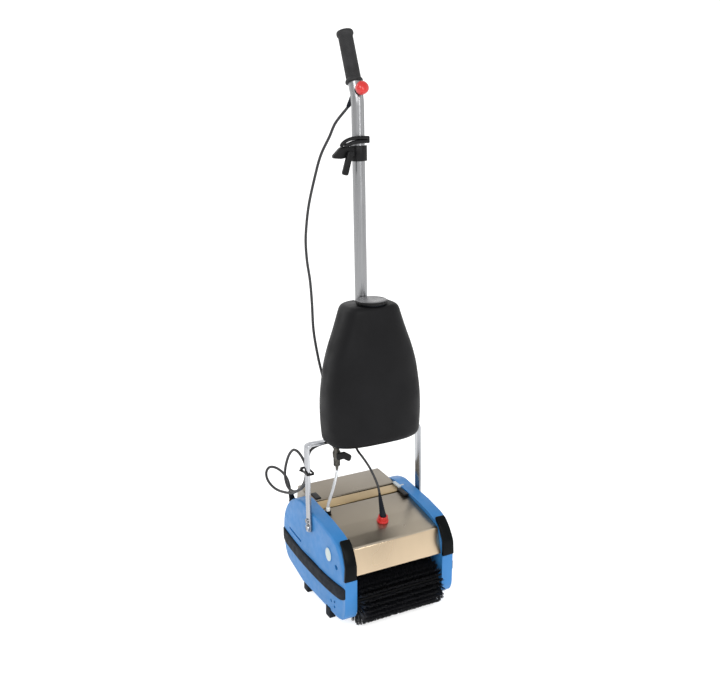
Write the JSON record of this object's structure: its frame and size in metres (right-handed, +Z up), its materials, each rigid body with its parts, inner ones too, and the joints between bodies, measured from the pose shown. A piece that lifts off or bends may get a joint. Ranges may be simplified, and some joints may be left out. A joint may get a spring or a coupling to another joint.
{
  "type": "wet and dry floor scrubber",
  "caption": "Upright twin-brush floor scrubber with blue side plates, steel covers, black water tank on a tilting handle, and a red switch button.",
  "frame": {"origin": "on the floor, under the middle of the machine's body", "axes": "+X across the machine, right as seen from its front; +Y from front to rear; +Z up"},
  "size_m": [0.312, 0.3618, 1.2039],
  "materials": {
    "blue_plastic": "mid-blue moulded plastic, satin",
    "black_plastic": "black moulded plastic, satin",
    "tank_plastic": "black rotationally moulded polyethylene, matt",
    "black_rubber": "black rubber, matt",
    "red_plastic": "signal red plastic, glossy",
    "white_plastic": "off-white plastic, satin",
    "bristle": "black nylon bristles",
    "stainless": "bright annealed stainless sheet",
    "steel": "plated steel",
    "motor_paint": "black painted steel",
    "aluminium": "satin anodised aluminium",
    "brass": "dull plated brass",
    "clear_hose": "clear flexible hose, slightly milky"
  },
  "bodies": {
    "chassis": {"left_side_plate": "blue_plastic", "left_frame_plate": "steel", "left_front_bearing": "steel", "left_rear_bearing": "steel", "left_bumper_strip": "black_rubber", "left_corner_guard": "black_rubber", "left_front_foot": "black_rubber", "left_rear_foot": "black_rubber", "left_pivot_bolt": "steel", "right_side_plate": "blue_plastic", "right_frame_plate": "steel", "right_front_bearing": "steel", "right_rear_bearing": "steel", "right_bumper_strip": "black_rubber", "right_corner_guard": "black_rubber", "right_front_foot": "black_rubber", "right_rear_foot": "black_rubber", "right_pivot_bolt": "steel", "motor_housing": "motor_paint", "drive_belt": "black_rubber", "front_cover": "stainless", "centre_bridge": "stainless", "rear_cover": "stainless", "recovery_tray": "white_plastic", "cross_rod": "steel", "spray_bar": "white_plastic", "lead_socket": "red_plastic", "lead_gland": "black_plastic", "hose_fitting": "black_plastic", "lead_boot": "black_rubber", "lead_loops": "black_rubber", "pump_lead": "black_rubber", "water_hose": "clear_hose"},
    "handle": {"bail": "steel", "handle_tube": "aluminium", "hand_grip": "black_rubber", "button_housing": "black_plastic", "clamp_collar": "black_plastic", "cable_hook": "black_plastic", "tank": "tank_plastic", "tap_body": "brass", "switch_lead": "black_rubber", "switch_boot": "black_rubber", "cable_tie": "black_plastic"},
    "front_brush": {"front_brush_shaft": "steel", "front_brush_core": "black_plastic", "front_brush_bristles": "bristle", "front_brush_pulley": "black_plastic"},
    "rear_brush": {"rear_brush_shaft": "steel", "rear_brush_core": "black_plastic", "rear_brush_bristles": "bristle", "rear_brush_pulley": "black_plastic"},
    "motor_rotor": {"motor_shaft": "steel"},
    "idler": {"idler_pulley": "steel"},
    "drum": {"pickup_drum": "white_plastic"},
    "tap_lever": {"tap_lever": "black_plastic"},
    "push_button": {"push_button": "red_plastic"},
    "clamp_lever": {"clamp_lever": "black_plastic"},
    "cap_seal": {"cap_seal": "black_rubber"},
    "filler_cap": {"filler_cap": "black_plastic"}
  },
  "joints": [
    {"name": "handle_lean", "type": "hinge", "parent": "chassis", "child": "handle", "pos_m": [0, 0.014, 0.17], "axis": [-1, 0, 0], "range_deg": [0, 55], "deforming": ["lead_loops", "pump_lead", "water_hose"]},
    {"name": "front_brush_spin", "type": "hinge", "parent": "chassis", "child": "front_brush", "pos_m": [0, -0.12, 0.0506], "axis": [1, 0, 0], "continuous": true},
    {"name": "rear_brush_spin", "type": "hinge", "parent": "chassis", "child": "rear_brush", "pos_m": [0, 0.075, 0.0506], "axis": [1, 0, 0], "continuous": true},
    {"name": "motor_spin", "type": "hinge", "parent": "chassis", "child": "motor_rotor", "pos_m": [0, 0.1, 0.15], "axis": [1, 0, 0], "continuous": true},
    {"name": "idler_spin", "type": "hinge", "parent": "chassis", "child": "idler", "pos_m": [0, 0.138, 0.062], "axis": [1, 0, 0], "continuous": true},
    {"name": "drum_spin", "type": "hinge", "parent": "chassis", "child": "drum", "pos_m": [0, -0.0225, 0.066], "axis": [1, 0, 0], "continuous": true},
    {"name": "tap_turn", "type": "hinge", "parent": "handle", "child": "tap_lever", "pos_m": [-0.084, -0.02902, 0.34477], "axis": [0, 0.9992, -0.0401], "range_deg": [0, 90]},
    {"name": "button_press", "type": "slide", "parent": "handle", "child": "push_button", "axis": [0, 0.915, -0.4035], "range_m": [0, 0.004], "stiffness_N_per_m": 800, "springref_m": -0.001},
    {"name": "clamp_lever_swing", "type": "hinge", "parent": "handle", "child": "clamp_lever", "pos_m": [-0.026, 0.02888, 0.96404], "axis": [0, 0.9992, -0.0401], "range_deg": [0, 70]},
    {"name": "filler_cap_lift", "type": "slide", "parent": "handle", "child": "cap_seal", "axis": [0, 0.0401, 0.9992], "range_m": [0, 0.06]},
    {"name": "filler_cap_turn", "type": "hinge", "parent": "cap_seal", "child": "filler_cap", "pos_m": [0, -0.0129, 0.66648], "axis": [0, 0.0401, 0.9992], "range_deg": [0, 360]}
  ],
  "couplings": [
    {"joint": "rear_brush_spin", "follows": "front_brush_spin", "ratio": -1},
    {"joint": "motor_spin", "follows": "front_brush_spin", "ratio": 1.5},
    {"joint": "idler_spin", "follows": "front_brush_spin", "ratio": 1.875}
  ]
}
